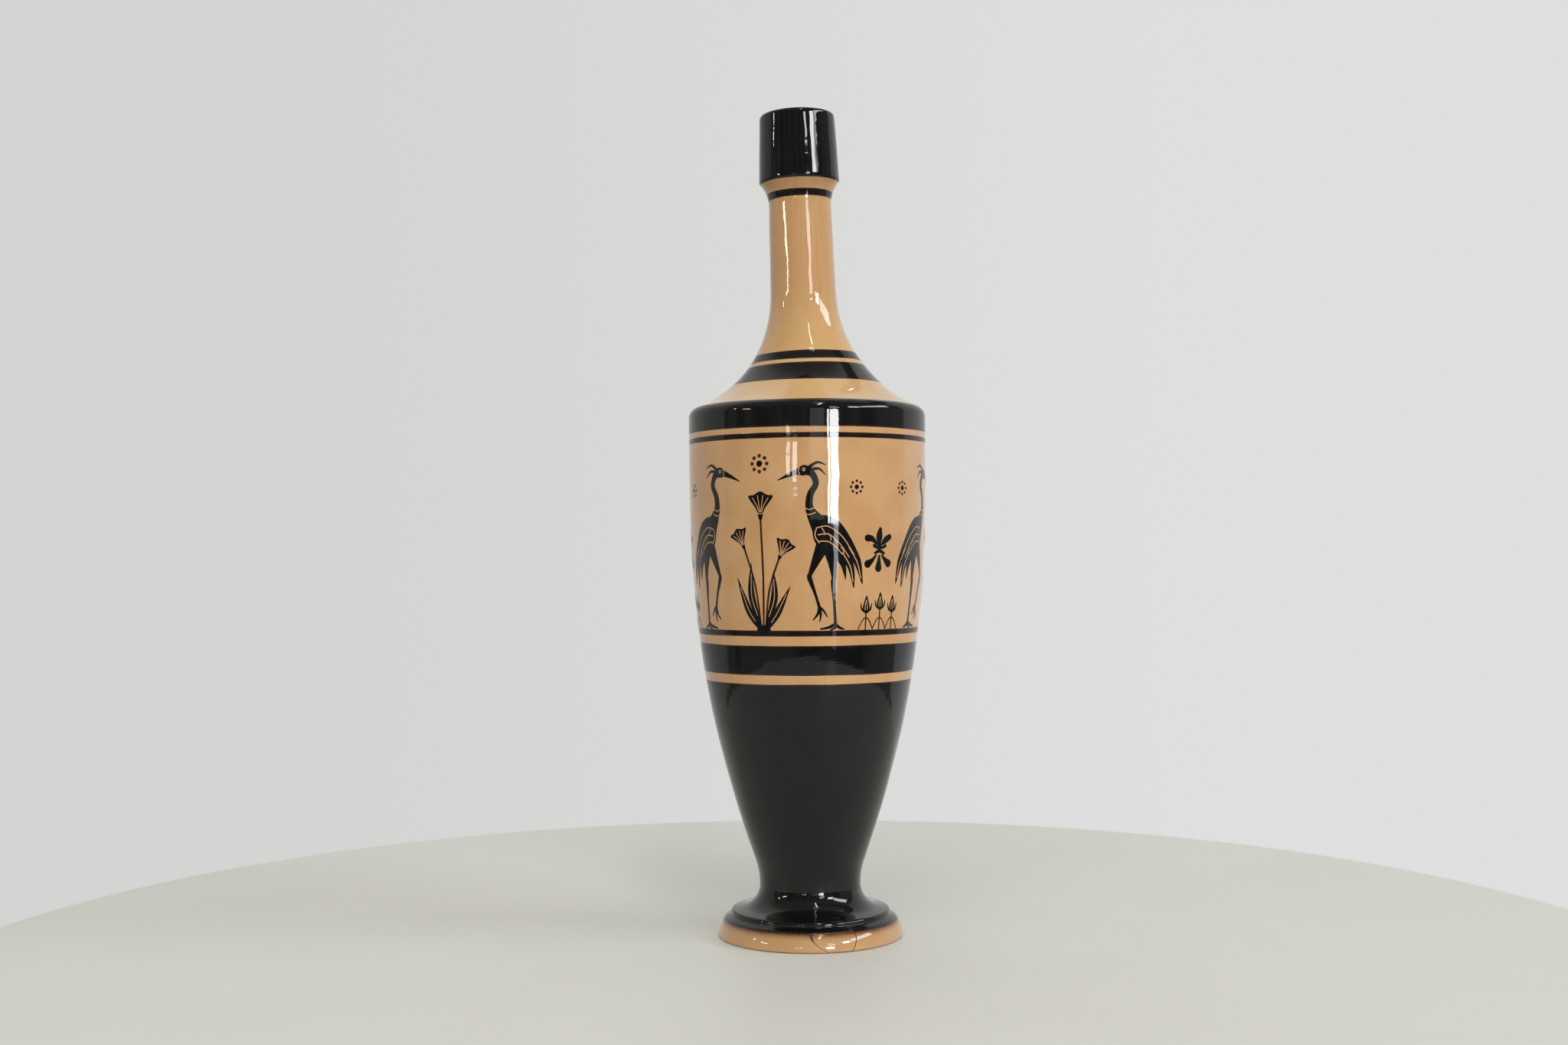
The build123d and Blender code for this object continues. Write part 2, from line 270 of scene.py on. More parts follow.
# The same places that the part works out from its sizes
disc_radius = STEM_RADIUS + APRON_FILLET + APRON_WIDTH + DISC_ROUND
foot_radius = disc_radius + FOOT_STEP
rest_radius = foot_radius - REST_INSET
rest_inner_radius = rest_radius - REST_WIDTH
roll_top_radius = foot_radius - ROLL_DRAWBACK
disc_bottom = ROLL_HEIGHT + STEP_HEIGHT
disc_top = disc_bottom + DISC_THICKNESS
apron_run = APRON_WIDTH + APRON_FILLET * sin(radians(APRON_SLOPE))
apron_top = disc_top + apron_run * tan(radians(APRON_SLOPE))
stem_height = apron_top + APRON_FILLET * cos(radians(APRON_SLOPE))
tenon_radius = STEM_RADIUS * TENON_SHARE
tenon_bottom = stem_height - TENON_LENGTH
socket_radius = tenon_radius + SLIP_THICKNESS
socket_bottom = tenon_bottom - SLIP_THICKNESS
floor_height = stem_height + FLOOR_THICKNESS
splay_height = stem_height + STEM_CURVE * sin(radians(BODY_SPLAY))
belly_height = splay_height + BELLY_RISE
shoulder_height = belly_height + UPRIGHT_RISE
swell_pull = BELLY_FULLNESS * BELLY_RISE
shoulder_turn = 90 - SHOULDER_SLOPE
flare_start_radius = BODY_RADIUS - EDGE_ROUND + EDGE_ROUND * sin(radians(SHOULDER_SLOPE))
flare_start_height = shoulder_height + EDGE_ROUND * cos(radians(SHOULDER_SLOPE))
flare_share = cos(radians(NECK_TAPER)) - sin(radians(SHOULDER_SLOPE))
flare_radius = (flare_start_radius - NECK_RADIUS) / flare_share
flare_centre_radius = NECK_RADIUS + flare_radius * cos(radians(NECK_TAPER))
flare_centre_height = flare_start_height + flare_radius * cos(radians(SHOULDER_SLOPE))
joint_radius = flare_centre_radius - flare_radius * cos(radians(NECK_JOINT_SLOPE))
joint_height = flare_centre_height - flare_radius * sin(radians(NECK_JOINT_SLOPE))
inner_joint_slope = degrees(asin((flare_centre_height - joint_height) / (flare_radius + WALL)))
pivot_height = joint_height - joint_radius * tan(radians(NECK_JOINT_SLOPE))
flare_top = flare_centre_height - flare_radius * sin(radians(NECK_TAPER))
cove_bottom = flare_top + NECK_LENGTH
neck_top_radius = NECK_RADIUS - NECK_LENGTH * tan(radians(NECK_TAPER))
neck_bore = neck_top_radius - NECK_WALL
mouth_joint_height = cove_bottom + MOUTH_JOINT_RISE
spigot_radius = neck_bore + SPIGOT_SHARE * NECK_WALL
spigot_top = mouth_joint_height + SPIGOT_LENGTH
socket_top = spigot_top + SLIP_THICKNESS
collar_bottom = cove_bottom + COVE_RISE
collar_radius = neck_top_radius + COLLAR_REACH
rim_height = collar_bottom + COLLAR_HEIGHT
rim_radius = collar_radius - COLLAR_HEIGHT * tan(radians(COLLAR_TAPER))
seat_slope = tan(radians(SEAT_TAPER))
seat_radius = neck_bore + (rim_height - socket_top) * seat_slope
cork_top = rim_height - CORK_RECESS
cork_bottom = cork_top - CORK_LENGTH


# Outlines, as lists of (radius, height) points

def turn(start, heading, radius, sweep, step=0.6):
    """Points of an arc from start, which sets out along heading and turns by sweep, left if positive."""
    side = 1 if sweep > 0 else -1
    centre_r = start[0] - side * radius * sin(radians(heading))
    centre_h = start[1] + side * radius * cos(radians(heading))
    count = max(3, ceil(radius * radians(abs(sweep)) / step))
    points = []
    for i in range(1, count + 1):
        a = radians(heading + sweep * i / count)
        points.append((centre_r + side * radius * sin(a), centre_h - side * radius * cos(a)))
    return points


def tangent_turn(start, heading, end, step=0.6):
    """Points of the arc from start to end that sets out along heading."""
    chord = hypot(end[0] - start[0], end[1] - start[1])
    toward = degrees(atan2(end[1] - start[1], end[0] - start[0]))
    half = (toward - heading + 180) % 360 - 180
    return turn(start, heading, chord / (2 * abs(sin(radians(half)))), 2 * half, step)


def bezier(p0, p1, p2, p3, count):
    """Points of a cubic curve after its first point."""
    points = []
    for i in range(1, count + 1):
        t = i / count
        weights = ((1 - t) ** 3, 3 * (1 - t) ** 2 * t, 3 * (1 - t) * t * t, t ** 3)
        points.append(tuple(sum(w * c for w, c in zip(weights, axis)) for axis in zip(p0, p1, p2, p3)))
    return points


def dense(points, step):
    """The same line with no stretch longer than step."""
    out = [points[0]]
    for a, b in zip(points, points[1:]):
        count = max(1, ceil(hypot(b[0] - a[0], b[1] - a[1]) / step))
        for i in range(1, count + 1):
            t = i / count
            out.append((a[0] + (b[0] - a[0]) * t, a[1] + (b[1] - a[1]) * t))
    return out


def rounded(before, corner, after, radius, step=0.3):
    """Points of the rounding of a corner between two straight runs."""
    back = (Vector(before) - Vector(corner)).normalized()
    ahead = (Vector(after) - Vector(corner)).normalized()
    half = back.angle(ahead) / 2
    start = Vector(corner) + back * radius / tan(half)
    heading = degrees(atan2(-back.y, -back.x))
    side = 1 if back.y * ahead.x > back.x * ahead.y else -1
    return [tuple(start)] + turn(tuple(start), heading, radius, side * degrees(pi - 2 * half), step)


def radius_at(points, height):
    """Radius of a rising line at a height."""
    i = bisect_left(points, height, key=lambda point: point[1])
    (r0, h0), (r1, h1) = points[i - 1], points[i]
    return r0 + (r1 - r0) * (height - h0) / (h1 - h0)


def cut_at(points, height):
    """A rising line in two, below and above a height, which both share."""
    middle = [(radius_at(points, height), height)]
    return [p for p in points if p[1] < height] + middle, middle + [p for p in points if p[1] > height]


def foot_outline(sink=0.0):
    """From the resting ring out and up to the joint with the body, or that much under the surface."""
    toe_top = (foot_radius - sink, ROLL_RISE)
    toe_foot = (rest_radius - sink, sink)
    step_corner = (roll_top_radius - sink, ROLL_HEIGHT - sink)
    disc_foot = (disc_radius - sink, disc_bottom)
    disc_edge = (disc_radius - sink, disc_top - DISC_ROUND)
    toe = [toe_top] + tangent_turn(toe_top, -90, toe_foot, 0.3)
    roll = tangent_turn(toe_top, 90, step_corner, 0.4)[:-EASED_POINTS]
    roll_end = rounded(roll[-1], step_corner, disc_foot, FOOT_EASING, 0.15)
    step_end = rounded(step_corner, disc_foot, disc_edge, FOOT_EASING, 0.15)
    disc_corner = [disc_edge] + turn(disc_edge, 90, DISC_ROUND, 90, 0.25)
    apron_end = (disc_radius - DISC_ROUND - apron_run, apron_top)
    stem = [apron_end] + turn(apron_end, 180 - APRON_SLOPE, APRON_FILLET, APRON_SLOPE - 90, 0.5)
    return dense(toe[::-1] + roll + roll_end + step_end + disc_corner + stem, ROW_STEP)


def wall_curve(inset):
    """The body's wall from its foot to its full width, or that far inside it."""
    points = [(STEM_RADIUS - inset, stem_height)]
    points += turn(points[-1], 90, STEM_CURVE + inset, -BODY_SPLAY)
    start = points[-1]
    full = BODY_RADIUS - inset
    splay = radians(BODY_SPLAY)
    pull = (start[0] + swell_pull * sin(splay), start[1] + swell_pull * cos(splay))
    count = ceil(SWELL_ROWS * BELLY_RISE / ROW_STEP)
    return points + bezier(start, pull, (full, belly_height - swell_pull), (full, belly_height), count)


def body_outline():
    """From the joint with the foot, up the wall and over the shoulder to the joint with the neck."""
    points = wall_curve(0) + [(BODY_RADIUS, shoulder_height)]
    points += turn(points[-1], 90, EDGE_ROUND, shoulder_turn, 0.35)
    points += turn(points[-1], 90 + shoulder_turn, flare_radius, NECK_JOINT_SLOPE - shoulder_turn)
    return dense(points, ROW_STEP)


def inner_flare(slope_from, slope_to):
    """Inside of the shoulder's hollow curve, between two slopes off the vertical."""
    reach = flare_radius + WALL
    a = radians(slope_from)
    start = (flare_centre_radius - reach * cos(a), flare_centre_height - reach * sin(a))
    return [start] + turn(start, slope_from - 90, reach, slope_to - slope_from, INNER_STEP)


def hollow_outline():
    """Inside of the body, from the neck's joint down to the middle of the floor."""
    inner_radius = BODY_RADIUS - WALL
    round_start = acos((flare_centre_radius - inner_radius + INNER_ROUND) / (flare_radius + WALL))
    points = inner_flare(inner_joint_slope, degrees(round_start))
    heading = degrees(round_start) - 90
    points += turn(points[-1], heading, INNER_ROUND / (1 + sin(radians(heading))), -90 - heading, 1.5)
    bowl_radius = (BODY_RADIUS ** 2 + FLOOR_BOWL ** 2) / (2 * FLOOR_BOWL)
    for r, h in wall_curve(WALL)[::-INNER_SKIP]:
        if h > floor_height + bowl_radius - sqrt(bowl_radius ** 2 - r ** 2):
            points.append((r, h))
    edge = points[-1][0]
    count = ceil(edge / INNER_STEP)
    for i in range(1, count + 1):
        r = edge * (1 - i / count)
        points.append((r, floor_height + bowl_radius - sqrt(bowl_radius ** 2 - r ** 2)))
    return dense(points, INNER_STEP)


def upper_outline():
    """From the neck's joint up the neck and the cove to the collar's corner."""
    points = [(joint_radius, joint_height)]
    points += turn(points[-1], 90 + NECK_JOINT_SLOPE, flare_radius, NECK_TAPER - NECK_JOINT_SLOPE)
    points.append((neck_top_radius, cove_bottom))
    points += tangent_turn(points[-1], 90 + NECK_TAPER, (collar_radius, collar_bottom), 0.4)
    return dense(points, ROW_STEP)


def mouth_outline():
    """From the mouth's joint up the collar, over the lip and down inside as far as the glaze goes."""
    cove = cut_at(upper_outline(), mouth_joint_height)[1]
    corner = (collar_radius, collar_bottom)
    rim = (rim_radius, rim_height)
    seat = (seat_radius, rim_height)
    glaze_end = (seat_radius - LIP_GLAZE * seat_slope, rim_height - LIP_GLAZE)
    points = cove[:-EASED_POINTS] + rounded(cove[-EASED_POINTS], corner, rim, COLLAR_EDGE)
    points += rounded(corner, rim, seat, LIP_ROUND) + rounded(rim, seat, glaze_end, LIP_ROUND)
    return dense(points + [glaze_end], ROW_STEP)


def cork_outline():
    """From the middle of the cork's lower end, round its sides to the middle of its top."""
    def cork_radius(height):
        return neck_bore + (height - socket_top) * seat_slope - CORK_CLEARANCE

    foot_corner = (cork_radius(cork_bottom), cork_bottom)
    top_corner = (cork_radius(cork_top), cork_top)
    points = [(0, cork_bottom)] + rounded((0, cork_bottom), foot_corner, top_corner, CORK_CHAMFER)
    points += rounded(foot_corner, top_corner, (0, cork_top), CORK_CHAMFER) + [(0, cork_top)]
    return dense(points, CORK_STEP)


# Turned pieces

def leaned(x, y, z):
    """A point of the upright flask, moved by the neck's lean, all of it from the neck's joint up."""
    t = min(1.0, max(0.0, (z - flare_start_height) / (joint_height - flare_start_height)))
    a = radians(NECK_LEAN) * t * t * (3 - 2 * t)
    up = z - pivot_height
    return Vector((x * cos(a) - up * sin(a), y, pivot_height + up * cos(a) + x * sin(a)))


def throwing(bearing, height):
    """Small swell of a hand-thrown wall."""
    k = BODY_RADIUS / THROW_WIDTH
    p = Vector((k * cos(bearing), k * sin(bearing), height / THROW_HEIGHT))
    fine = p * FINE_SCALE + Vector(FINE_SHIFT)
    return THROW_DEPTH * (noise.noise(p) + FINE_SHARE * noise.noise(fine))


def wall_point(radius, bearing, height, uneven=1.0):
    """A point of the flask in metres. Bearing 0 is the front, and it grows towards the right."""
    r = radius + uneven * throwing(bearing, height)
    return leaned(r * sin(bearing), -r * cos(bearing), height) * MM


def lathe(name, runs, closed=False, columns=COLUMNS):
    """A turned mesh. A run is (points, material index, uneven share), and a closed one joins its ends."""
    rows = []
    for points, material, uneven in runs:
        for point in points:
            if not rows or point != rows[-1][0]:
                rows.append((point, material, uneven))
    coords = []
    heights = []
    rings = []
    for (r, h), material, uneven in rows:
        count = columns if r > 1e-6 else 1
        rings.append(range(len(coords), len(coords) + count))
        for i in range(count):
            coords.append(wall_point(r, 2 * pi * i / columns, h, uneven))
            heights.append(h)
    faces = []
    materials = []
    for a in range(len(rows) if closed else len(rows) - 1):
        b = (a + 1) % len(rows)
        low, high = rings[a], rings[b]
        for i in range(columns):
            j = (i + 1) % columns
            corners = [low[i % len(low)], low[j % len(low)], high[j % len(high)], high[i % len(high)]]
            faces.append(list(dict.fromkeys(corners)))
            materials.append(max(rows[a][1], rows[b][1]))
    piece = mesh_object(name, coords, faces)
    piece.data.polygons.foreach_set("material_index", materials)
    smooth(piece.data)
    paint(piece.data, heights)
    return piece


def mesh_object(name, coords, faces):
    """A new object of that mesh in the scene."""
    mesh = bpy.data.meshes.new(name)
    mesh.from_pydata(coords, [], faces)
    piece = bpy.data.objects.new(name, mesh)
    scene.collection.objects.link(piece)
    return piece


def coat(piece, *materials):
    """Adds materials to a piece."""
    for material in materials:
        piece.data.materials.append(material)


def smooth(mesh, sharp=38.0):
    """Smooth shading, with edges sharper than that kept."""
    mesh.polygons.foreach_set("use_smooth", [True] * len(mesh.polygons))
    mesh.set_sharp_from_angle(angle=radians(sharp))
    mesh.update()


def paint(mesh, heights):
    """Gives each vertex its height, and how deep it lies inside the black bands."""
    depths = [max(min(h - low, high - h) for low, high in BANDS) for h in heights]
    for name, values in (("height", heights), ("black_depth", depths)):
        layer = mesh.attributes.get(name) or mesh.attributes.new(name, "FLOAT", "POINT")
        layer.data.foreach_set("value", values)


body_side = body_outline()
neck_side = cut_at(upper_outline(), mouth_joint_height)[0]
mouth_side = mouth_outline()

foot_socket = [(socket_radius, stem_height), (socket_radius, socket_bottom), (0, socket_bottom)]
tenon = [(0, tenon_bottom), (tenon_radius, tenon_bottom), (tenon_radius, stem_height)]
body = lathe("body_thrown", [(tenon, 1, 0), (body_side, 0, 1), (hollow_outline(), 1, 1)])

spigot = [(spigot_radius, mouth_joint_height), (spigot_radius, spigot_top), (neck_bore, spigot_top)]
bore = dense([(neck_bore, spigot_top), (neck_bore, inner_flare(NECK_TAPER, 90)[0][1])], INNER_STEP)
neck_inside = bore + inner_flare(NECK_TAPER, inner_joint_slope)
neck = lathe("neck_thrown", [(neck_side, 0, 1), (spigot, 1, 0), (neck_inside, 1, 1)], closed=True)

seat = dense([mouth_side[-1], (neck_bore, socket_top)], INNER_STEP)
sleeve_radius = spigot_radius + SLIP_THICKNESS
mouth_socket = [(sleeve_radius, socket_top), (sleeve_radius, mouth_joint_height)]
mouth = lathe("mouth_thrown", [(mouth_side, 0, 1), (seat, 1, 1), (mouth_socket, 1, 0)], closed=True)


# Mended shard of the foot

def shard_outline(gap):
    """Outline of the shard seen from outside, or of the break around it, which is wider by gap."""
    steps = 14
    below = -2.0
    edges = (
        (-1, SHARD_TOP_LEFT, SHARD_FOOT_LEFT, SHARD_LEFT_BULGE, CHIP_WIDTH if gap else 0, 2.5),
        (1, SHARD_TOP_RIGHT, SHARD_FOOT_RIGHT, SHARD_RIGHT_BULGE, 0, 8.5),
    )
    lines = []
    for side, top, foot, bulge, chip, seed in edges:
        line = []
        for i in range(steps + 1):
            t = i / steps
            reach = top + (foot - top) * t + 4 * bulge * t * (1 - t) + gap
            reach += chip * max(0, 1 - SHARD_HEIGHT * t / CHIP_HEIGHT)
            stray = 2 * CRACK_JITTER * noise.noise(Vector((9 * t, seed, 0.5)))
            line.append((stray + side * reach, SHARD_HEIGHT * (1 - t)))
        line[0] = (line[0][0], SHARD_HEIGHT + gap)
        lines.append(line + [(line[-1][0], below)])
    return lines[0] + lines[1][::-1]


def shard_block(name, gap):
    """A block that cuts the shard, or the break around it, out of the foot."""
    bearing = radians(SHARD_BEARING)
    out = Vector((sin(bearing), -cos(bearing), 0))
    across = Vector((cos(bearing), sin(bearing), 0))
    outline = shard_outline(gap)
    coords = []
    for reach in (foot_radius - SHARD_DEPTH - gap, foot_radius + FOOT_STEP):
        for a, h in outline:
            coords.append((out * reach + across * a + Vector((0, 0, h))) * MM)
    count = len(outline)
    faces = [list(range(count))[::-1], list(range(count, 2 * count))]
    for i in range(count):
        j = (i + 1) % count
        faces.append([i, j, count + j, count + i])
    block = mesh_object(name, coords, faces)
    block.data.polygons.foreach_set("material_index", [1] * len(faces))
    coat(block, glaze, clay)
    return block


def carve(piece, block, operation):
    """Joins, cuts or keeps the overlap of two pieces, in the first one."""
    step = piece.modifiers.new("carve", "BOOLEAN")
    step.operation = operation
    step.solver = "EXACT"
    step.object = block
    bpy.context.view_layer.update()
    result = bpy.data.meshes.new_from_object(piece.evaluated_get(bpy.context.evaluated_depsgraph_get()))
    piece.modifiers.clear()
    old = piece.data
    piece.data = result
    bpy.data.meshes.remove(old)
    result.name = piece.name
    smooth(result)
    paint(result, [v.co.z / MM for v in result.vertices])


def turned_foot(name, sink=0.0):
    """The whole foot before it broke, or what lies that far under its glaze."""
    middle = (0, RECESS_DEPTH)
    recess = [middle] + tangent_turn(middle, 0, (rest_inner_radius, 0), 2.0)
    piece = lathe(name, [(recess, 1, 0), (foot_outline(sink), 0, 1), (foot_socket, 1, 0)])
    coat(piece, glaze, clay)
    return piece


# Shapes of the painting, as outlines in millimetres

def curve(points, closed=False, per=6):
    """Points of a smooth line through the given ones."""
    count = len(points)
    out = []
    for i in range(count if closed else count - 1):
        spots = [i - 1, i, i + 1, i + 2]
        spots = [s % count if closed else min(max(s, 0), count - 1) for s in spots]
        a, b, c, d = (Vector(points[s]) for s in spots)
        for j in range(per):
            t = j / per
            bend = (2 * a - 5 * b + 4 * c - d) * t * t + (3 * b - a - 3 * c + d) * t ** 3
            out.append((2 * b + (c - a) * t + bend) / 2)
    if not closed:
        out.append(Vector(points[-1]))
    return out


def blob(*points):
    """A closed smooth outline."""
    return curve(points, closed=True)


def stroke(points, widths, per=6):
    """Outline of a brush stroke along a smooth line, with round ends. One width can serve for all."""
    line = curve(points, per=per)
    if isinstance(widths, float):
        widths = [widths] * len(points)
    breadth = [max(p.x, 0.1) for p in curve([(w, 0) for w in widths], per=per)]
    last = len(line) - 1
    left = []
    right = []
    for i, p in enumerate(line):
        along = (line[min(i + 1, last)] - line[max(i - 1, 0)]).normalized()
        side = Vector((-along.y, along.x)) * breadth[i] / 2
        left.append(p + side)
        right.append(p - side)
    return left + round_end(line[-1], left[-1]) + right[::-1] + round_end(line[0], right[0])


def strokes(*rows):
    """Brush strokes, each the points of its line and then its widths."""
    return [stroke(points, widths) for *points, widths in rows]


def round_end(middle, start, steps=5):
    """Points of the half circle that ends a stroke, clockwise from start and without its ends."""
    arm = start - middle
    return [middle + Matrix.Rotation(-pi * i / steps, 2) @ arm for i in range(1, steps)]


def dot(x, y, radius, sides=14):
    """A round spot."""
    turns = [2 * pi * i / sides for i in range(sides)]
    return [Vector((x + radius * cos(a), y + radius * sin(a))) for a in turns]


def crane():
    """A crane that steps to the right: black shapes, lines scratched in them, spots left in those."""
    black = [
        blob((6.5, 37.5), (4.2, 43.2), (-2.5, 41.8), (-7.8, 35.5), (-12.8, 25.5),
             (-9, 26.6), (-4.8, 28), (0.8, 29), (5, 32.2)),
        blob((7.2, 61), (9.6, 62.2), (12.2, 60.6), (11.6, 58.7), (9, 58.4)),
    ]
    black += strokes(
        ((3.4, 39), (7.4, 45.5), (7.3, 51), (5.2, 55.2), (6.6, 59), (9.4, 60.2),
         (7.4, 3.4, 2.5, 2.3, 2.6, 3.6)),
        ((11, 60), (15, 58.6), (19.4, 56.6), (2.4, 1.5, 0.3)),
        ((7.6, 61.4), (4.6, 63.2), (1.4, 62.2), (1.3, 0.9, 0.3)),
        ((7.2, 60.4), (4, 60.8), (1.6, 58.6), (1.3, 0.9, 0.3)),
        ((-7, 32), (-11.2, 25.5), (-13.4, 17.6), (4.2, 3, 0.5)),
        ((-4.6, 30), (-8.4, 24), (-9.8, 16.2), (4, 2.8, 0.5)),
        ((-2.4, 29.6), (-5.2, 25), (-6.4, 19.4), (3.4, 2.2, 0.4)),
        ((0, 31), (-1.2, 25), (-1.8, 19), (5.4, 3.4, 1.6)),
        ((-1.8, 19.6), (-1.5, 18), (-2, 10), (-2.6, 2.2), (1.5, 2, 1.15, 1.3)),
        ((-2.6, 2.4), (0, 1.2), (3.4, 0.6), (1.4, 1.1, 0.6)),
        ((-2.6, 2.2), (-2.4, 1), (-0.6, 0.2), (1.2, 1, 0.5)),
        ((-2.6, 2.2), (-4.4, 1), (-6.2, 0.5), (1.3, 1, 0.5)),
        ((2.8, 31.6), (5.4, 26), (7.6, 21), (5.2, 3.2, 1.5)),
        ((7.4, 21.4), (7.7, 19.8), (5.6, 14), (3.9, 8.6), (1.4, 1.9, 1.1, 1.2)),
        ((3.9, 8.8), (4.6, 6.2), (6.4, 4), (1.3, 1, 0.4)),
        ((3.9, 8.8), (3.4, 6), (3.8, 3.4), (1.2, 0.9, 0.4)),
        ((3.9, 8.8), (2.2, 7.4), (0.8, 5.2), (1.1, 0.8, 0.4)),
    )
    scratched = strokes(
        ((5, 38.6), (0.6, 39.2), (-4.8, 35.4), (-9.6, 28.6), 0.42),
        ((4.4, 36), (0.4, 36.2), (-3.8, 32.8), (-7.6, 27.6), 0.42),
        ((4, 33.6), (0.4, 33.4), (-2.6, 31.2), (-4.8, 28.8), 0.42),
        ((5, 38.6), (5.6, 35.6), (4, 33), 0.42),
        ((5.4, 44.4), (7.6, 43.6), (9.6, 44.2), 0.4),
        ((5.8, 46.2), (7.6, 45.5), (9.4, 46.2), 0.4),
        ((-7.6, 31.2), (-11, 25.6), (-12.8, 19.6), 0.42),
        ((-5, 29.2), (-8.2, 24), (-9.4, 18.4), 0.42),
        ((11.2, 61.2), (11.7, 60), (11.2, 58.9), 0.35),
    )
    scratched.append(dot(9.7, 60.6, 0.72))
    for i in range(4):
        x, y = 2.2 - 2.5 * i, 37.4 - 1.9 * i - 0.18 * i * i
        scratched.append(stroke([(x + 0.9, y + 1.2), (x, y), (x - 0.2, y - 1.4)], 0.36))
    return black, scratched, [dot(9.9, 60.6, 0.34)]


def umbel(x, y, size, tilt):
    """A fan-shaped flower head on a reed, and the rays scratched in it."""
    def placed(u, v):
        a = radians(tilt)
        return x + size * (u * cos(a) + v * sin(a)), y + size * (v * cos(a) - u * sin(a))

    fan = [(-0.5, 0), (-1.5, 3.4), (-4.6, 7.8), (-2.5, 8.4), (0, 9.6),
           (2.5, 8.4), (4.6, 7.8), (1.5, 3.4), (0.5, 0)]
    scratched = []
    for u, v in ((-2.9, 7.4), (-1, 8.2), (1, 8.2), (2.9, 7.4)):
        scratched.append(stroke([placed(0.16 * u, 2.6), placed(0.5 * u, 5), placed(u, v)], 0.36))
    scratched.append(stroke([placed(-1.4, 2.4), placed(0, 1.9), placed(1.4, 2.4)], 0.36))
    return blob(*(placed(u, v) for u, v in fan)), scratched


def reeds():
    """A stand of reeds: black shapes, scratched lines, and brown stalks."""
    stalks = [
        ([(0, 0), (0.7, 20), (0.2, 42)], 1.1, 0),
        ([(-0.9, 0), (-2.8, 17), (-7, 31)], 0.86, -24),
        ([(0.9, 0), (3, 15), (7.2, 27)], 0.86, 26),
    ]
    brown = []
    black = []
    scratched = []
    for line, size, tilt in stalks:
        brown.append(stroke(line, 0.8, per=10))
        head, rays = umbel(*line[-1], size, tilt)
        black.append(head)
        scratched += rays
    leaves = [
        [(-1.2, 0), (-6.4, 8), (-10.8, 20)],
        [(1.2, 0), (6.2, 7), (11.4, 16.6)],
        [(-0.6, 0), (-4.6, 13), (-4.2, 25.5)],
        [(0.6, 0), (4.9, 12), (5, 22.5)],
    ]
    for line in leaves:
        black.append(stroke(line, [1, 2.9, 0.2], per=10))
        root, bend, tip = (Vector(point) for point in line)
        scratched.append(stroke([root.lerp(bend, 0.45), bend, bend.lerp(tip, 0.7)], 0.36))
    black.append(blob((-3, 0), (-1.8, 1.6), (0, 2.1), (1.8, 1.6), (3, 0), (0, -0.3)))
    return black, scratched, brown


def rosette(size):
    """A black dot and a ring of red dots round it."""
    ring = [dot(size * cos(pi * i / 4), size * sin(pi * i / 4), 0.25 * size, 10) for i in range(8)]
    return [dot(0, 0, 0.4 * size)], ring


def double_palmette():
    """Two small palmettes back to back, three petals up and three down, with a knot between them."""
    return strokes(
        ((-1.9, -0.5), (0.1, 0.3), (2.2, -0.6), (1.1, 1.3, 1.2)),
        ((0, 0.2), (0, 1.6), (-0.1, 3.2), (1.3, 1.9, 1.8)),
        ((-0.1, 2.4), (0, 5.8), (0.4, 8.6), (1.3, 2.9, 1.5)),
        ((-1.1, 2.9), (-3.2, 4.8), (-5.4, 5.2), (0.9, 2.1, 2.7)),
        ((1.1, 2.7), (3, 4.4), (5, 5.6), (0.8, 2.4, 2.3)),
        ((0, 1.5), (-1.3, 1.7), (-2.3, 2.3), (1.5, 1.1, 1.5)),
        ((0, 1.5), (1.5, 1.6), (2.9, 2.2), (1.5, 1.1, 1.4)),
        ((0, -1.6), (-0.05, -3.8), (-0.2, -6.2), (0.9, 1.9, 3.1)),
        ((-1.5, -1.4), (-3.2, -3.2), (-5.2, -4.6), (0.8, 1.6, 3.1)),
        ((1.3, -1.4), (2.8, -2.9), (4.6, -4.4), (0.8, 1.6, 3.1)),
    )


def lotus_chain():
    """Lotus buds on thin stems that arcs join: black shapes, scratched lines, brown lines."""
    spacing = 6.6
    black = []
    scratched = []
    brown = []
    for i in (-1, 0, 1):
        x = spacing * i
        foot = 6.4 + 1.2 * (i == 0)
        black.append(blob((x, foot), (x - 1.5, foot + 1.8), (x - 1.1, foot + 4), (x, foot + 6.6),
                          (x + 1.1, foot + 4), (x + 1.5, foot + 1.8)))
        for side in (1, -1):
            sepal = [(x, foot + 0.2), (x + 1.9 * side, foot + 1.4), (x + 2.5 * side, foot + 3.6)]
            black.append(stroke(sepal, (0.9, 0.8, 0.3)))
            vein = [(x + 0.5 * side, foot + 1.2), (x + 0.45 * side, foot + 3), (x, foot + 5)]
            scratched.append(stroke(vein, 0.34))
        brown.append(stroke([(x, 0), (x, foot / 2), (x, foot + 0.4)], 0.6))
        arc = [(-0.5, 0.3), (-0.25, 3.4), (0, 4.6), (0.25, 3.4), (0.5, 0.3)]
        brown.append(stroke([(x + spacing * u, v) for u, v in arc], 0.5))
    return black, scratched, brown


# The painting on the wall

def on_wall(bearing, height, proud=0.0):
    """A point of the body's wall below the shoulder, or that far above its surface."""
    return wall_point(radius_at(body_side, height) + proud, bearing, height)


def wall_normal(bearing, height):
    """Direction square to the uneven wall."""
    step = 0.5
    turn_step = step / FRIEZE_RADIUS
    rise = on_wall(bearing, height + step) - on_wall(bearing, height - step)
    run = on_wall(bearing + turn_step, height) - on_wall(bearing - turn_step, height)
    return run.cross(rise).normalized()


def all_round(bearing, rise, side=1):
    """The same place above the panel's foot in each repeat of the frieze."""
    return [(bearing + 360 * i / FRIEZE_REPEATS, PANEL_FOOT + rise, side) for i in range(FRIEZE_REPEATS)]


